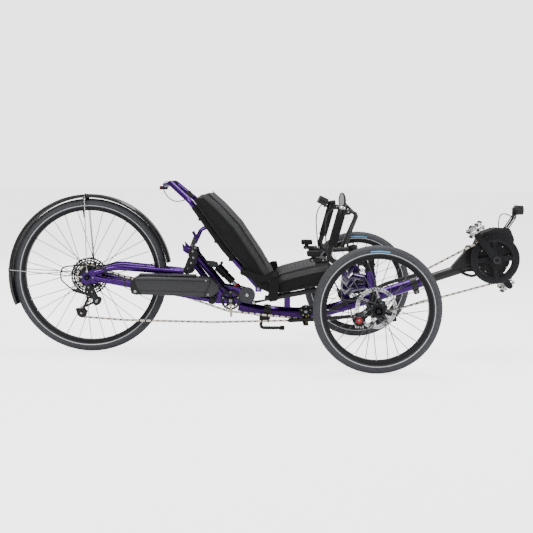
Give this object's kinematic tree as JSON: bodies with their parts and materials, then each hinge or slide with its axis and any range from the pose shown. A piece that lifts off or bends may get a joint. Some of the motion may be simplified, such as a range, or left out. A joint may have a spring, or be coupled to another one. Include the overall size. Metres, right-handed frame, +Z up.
{
  "type": "recumbent tricycle",
  "caption": "Folding recumbent trike: steered front wheels, sprung rear wheel on a swingarm, mesh seat, motor on a sliding boom, battery, chain drive and side handlebars.",
  "frame": {"origin": "on the ground, under the middle of the bounding box", "axes": "+X forward, +Y to the rider's left, +Z up"},
  "size_m": [2.1483, 0.872, 0.7159],
  "materials": {
    "frame_paint": "deep metallic violet-blue",
    "black_satin": "black satin",
    "motor_black": "black anodised",
    "bracket_alloy": "dark grey anodised",
    "crank_alloy": "brushed",
    "rim_alloy": "black anodised rim, silver spokes",
    "steel": "brushed",
    "chain_steel": "oiled",
    "tyre_rubber": "matt with a thin reflective line",
    "seat_cloth": "black mesh",
    "black_plastic": "matt",
    "tube_plastic": "smooth",
    "black_gloss": "gloss"
  },
  "bodies": {
    "frame": {"main_frame": "frame_paint", "frame_clamps": "black_satin", "idler_bracket": "black_satin", "chain_tubes": "tube_plastic", "seat_base_frame": "black_satin", "seat_base_cushion": "seat_cloth", "chain_mid": "chain_steel"},
    "boom_unit": {"boom": "black_satin", "motor_housing": "motor_black", "motor_covers": "motor_black", "headlight_bracket": "bracket_alloy", "chain_front": "chain_steel"},
    "lamp": {"headlight": "black_gloss"},
    "crank": {"crankset": "crank_alloy", "chainring": "crank_alloy"},
    "pedal_right_body": {"pedal_right": "crank_alloy"},
    "pedal_left_body": {"pedal_left": "crank_alloy"},
    "idler": {"front_idler": "tube_plastic"},
    "stand": {"stand_leg": "black_satin"},
    "latch": {"fold_latch": "black_satin"},
    "rear_half": {"tower": "frame_paint", "frame_pins": "steel"},
    "sprocket": {"pivot_sprocket": "bracket_alloy"},
    "rear_arm": {"swingarm": "frame_paint", "shock_bracket": "bracket_alloy", "battery": "black_plastic", "rear_fender": "black_gloss", "fender_stays": "steel", "derailleur_body": "black_plastic", "chain_rear": "chain_steel"},
    "cage": {"derailleur_cage": "bracket_alloy"},
    "jockey_upper_body": {"jockey_upper": "tube_plastic"},
    "jockey_lower_body": {"jockey_lower": "tube_plastic"},
    "rear_wheel_body": {"rear_tyre": "tyre_rubber", "rear_wheel": "rim_alloy"},
    "cassette_body": {"cassette": "steel"},
    "shock_upper": {"shock_can": "bracket_alloy"},
    "shock_lower": {"shock_shaft": "steel"},
    "seat_back": {"seat_back_frame": "frame_paint", "seat_back_cushion": "seat_cloth", "seat_strut": "bracket_alloy", "tail_light": "black_plastic"},
    "steer_right": {"knuckle_right": "crank_alloy", "brake_caliper_right": "black_plastic", "handlebar_right": "black_satin"},
    "steer_left": {"knuckle_left": "crank_alloy", "brake_caliper_left": "black_plastic", "handlebar_left": "black_satin", "display": "black_plastic"},
    "front_wheel_right": {"tyre_right": "tyre_rubber", "wheel_right": "rim_alloy", "rotor_right": "steel"},
    "front_wheel_left": {"tyre_left": "tyre_rubber", "wheel_left": "rim_alloy", "rotor_left": "steel"},
    "lever_right": {"brake_lever_right": "bracket_alloy"},
    "lever_left": {"brake_lever_left": "bracket_alloy"},
    "shift": {"shifter": "black_plastic"},
    "mirror_arm": {"mirror": "black_plastic"},
    "track_rod": {"tie_rod": "black_satin"}
  },
  "joints": [
    {"name": "boom_slide", "type": "slide", "parent": "frame", "child": "boom_unit", "axis": [0.9489, 0, 0.3156], "range_m": [-0.03, 0.03], "deforming": ["chain_front", "chain_mid", "chain_rear"]},
    {"name": "headlight_tilt", "type": "hinge", "parent": "boom_unit", "child": "lamp", "pos_m": [1.01755, 0, 0.578], "axis": [0, 1, 0], "range_deg": [-15, 15]},
    {"name": "crank_spin", "type": "hinge", "parent": "boom_unit", "child": "crank", "pos_m": [0.92955, 0, 0.405], "axis": [0, 1, 0], "continuous": true},
    {"name": "pedal_spin_right", "type": "hinge", "parent": "crank", "child": "pedal_right_body", "pos_m": [0.8246, -0.15, 0.53232], "axis": [0, 1, 0], "continuous": true},
    {"name": "pedal_spin_left", "type": "hinge", "parent": "crank", "child": "pedal_left_body", "pos_m": [1.0345, 0.15, 0.27768], "axis": [0, 1, 0], "continuous": true},
    {"name": "idler_spin", "type": "hinge", "parent": "frame", "child": "idler", "pos_m": [0.15755, -0.052, 0.183], "axis": [0, 1, 0], "continuous": true},
    {"name": "stand_fold", "type": "hinge", "parent": "frame", "child": "stand", "pos_m": [-0.02545, -0.05, 0.147], "axis": [0, 1, 0], "range_deg": [0, 60]},
    {"name": "latch_open", "type": "hinge", "parent": "frame", "child": "latch", "pos_m": [-0.05845, -0.021, 0.214], "axis": [0, 1, 0], "range_deg": [-80, 0]},
    {"name": "rear_fold", "type": "hinge", "parent": "frame", "child": "rear_half", "pos_m": [-0.08445, 0, 0.251], "axis": [0, 1, 0], "range_deg": [0, 50]},
    {"name": "seat_back_fold", "type": "hinge", "parent": "frame", "child": "seat_back", "pos_m": [0.02855, 0, 0.352], "axis": [0, 1, 0], "range_deg": [0, 70]},
    {"name": "sprocket_spin", "type": "hinge", "parent": "rear_half", "child": "sprocket", "pos_m": [-0.15245, -0.058, 0.227], "axis": [0, 1, 0], "continuous": true},
    {"name": "suspension", "type": "hinge", "parent": "rear_half", "child": "rear_arm", "pos_m": [-0.22745, 0, 0.23], "axis": [0, 1, 0], "range_deg": [0, 8], "stiffness_Nm_per_rad": 900, "springref_deg": -6.88},
    {"name": "shock_pivot", "type": "hinge", "parent": "rear_arm", "child": "shock_upper", "pos_m": [-0.21845, 0, 0.369], "axis": [0, 1, 0], "range_deg": [-5, 0]},
    {"name": "shock_slide", "type": "slide", "parent": "shock_upper", "child": "shock_lower", "axis": [-0.7105, 0, 0.7037], "range_m": [0, 0.02]},
    {"name": "cassette_spin", "type": "hinge", "parent": "rear_arm", "child": "cassette_body", "pos_m": [-0.73845, -0.044, 0.3195], "axis": [0, 1, 0], "continuous": true},
    {"name": "rear_wheel_spin", "type": "hinge", "parent": "rear_arm", "child": "rear_wheel_body", "pos_m": [-0.73845, 0, 0.3195], "axis": [0, 1, 0], "continuous": true},
    {"name": "cage_swing", "type": "hinge", "parent": "rear_arm", "child": "cage", "pos_m": [-0.70045, -0.06, 0.222], "axis": [0, 1, 0], "range_deg": [-3, 12], "stiffness_Nm_per_rad": 1.5},
    {"name": "jockey_upper_spin", "type": "hinge", "parent": "cage", "child": "jockey_upper_body", "pos_m": [-0.73845, -0.0428, 0.239], "axis": [0, 1, 0], "continuous": true},
    {"name": "jockey_lower_spin", "type": "hinge", "parent": "cage", "child": "jockey_lower_body", "pos_m": [-0.77045, -0.0428, 0.167], "axis": [0, 1, 0], "continuous": true},
    {"name": "steering_right", "type": "hinge", "parent": "frame", "child": "steer_right", "pos_m": [0.41155, -0.325, 0.243], "axis": [-0.1633, 0, 0.9866], "range_deg": [-25, 25]},
    {"name": "steering_left", "type": "hinge", "parent": "frame", "child": "steer_left", "pos_m": [0.41155, 0.325, 0.243], "axis": [-0.1633, 0, 0.9866], "range_deg": [-25, 25]},
    {"name": "track_rod_pivot", "type": "hinge", "parent": "steer_right", "child": "track_rod", "pos_m": [0.48155, -0.325, 0.213], "axis": [-0.1633, 0, 0.9866], "range_deg": [-25, 25]},
    {"name": "wheel_spin_right", "type": "hinge", "parent": "steer_right", "child": "front_wheel_right", "pos_m": [0.41155, -0.397, 0.243], "axis": [0, 1, 0], "continuous": true},
    {"name": "wheel_spin_left", "type": "hinge", "parent": "steer_left", "child": "front_wheel_left", "pos_m": [0.41155, 0.397, 0.243], "axis": [0, 1, 0], "continuous": true},
    {"name": "brake_pull_right", "type": "hinge", "parent": "steer_right", "child": "lever_right", "pos_m": [0.30355, -0.29, 0.604], "axis": [0, 1, 0], "range_deg": [0, 12], "stiffness_Nm_per_rad": 0.6, "springref_deg": -20.05},
    {"name": "brake_pull_left", "type": "hinge", "parent": "steer_left", "child": "lever_left", "pos_m": [0.30355, 0.29, 0.604], "axis": [0, 1, 0], "range_deg": [0, 12], "stiffness_Nm_per_rad": 0.6, "springref_deg": -20.05},
    {"name": "shift_push", "type": "hinge", "parent": "steer_right", "child": "shift", "pos_m": [0.28055, -0.261, 0.607], "axis": [0, 1, 0], "range_deg": [0, 18], "stiffness_Nm_per_rad": 0.3, "springref_deg": -20.05},
    {"name": "mirror_swivel", "type": "hinge", "parent": "steer_left", "child": "mirror_arm", "pos_m": [0.33955, 0.345, 0.424], "axis": [0.3781, 0, 0.9258], "range_deg": [-20, 20]}
  ],
  "couplings": [
    {"joint": "idler_spin", "follows": "crank_spin", "ratio": -2.879},
    {"joint": "sprocket_spin", "follows": "crank_spin", "ratio": -1.979},
    {"joint": "cassette_spin", "follows": "crank_spin", "ratio": 1.951},
    {"joint": "jockey_upper_spin", "follows": "crank_spin", "ratio": -5.43},
    {"joint": "jockey_lower_spin", "follows": "crank_spin", "ratio": 5.43},
    {"joint": "seat_back_fold", "follows": "rear_fold", "ratio": 1.4},
    {"joint": "shock_pivot", "follows": "suspension", "ratio": -0.381},
    {"joint": "shock_slide", "follows": "suspension", "m_per_rad": 0.1076},
    {"joint": "steering_left", "follows": "steering_right", "ratio": 1},
    {"joint": "track_rod_pivot", "follows": "steering_right", "ratio": -1}
  ]
}
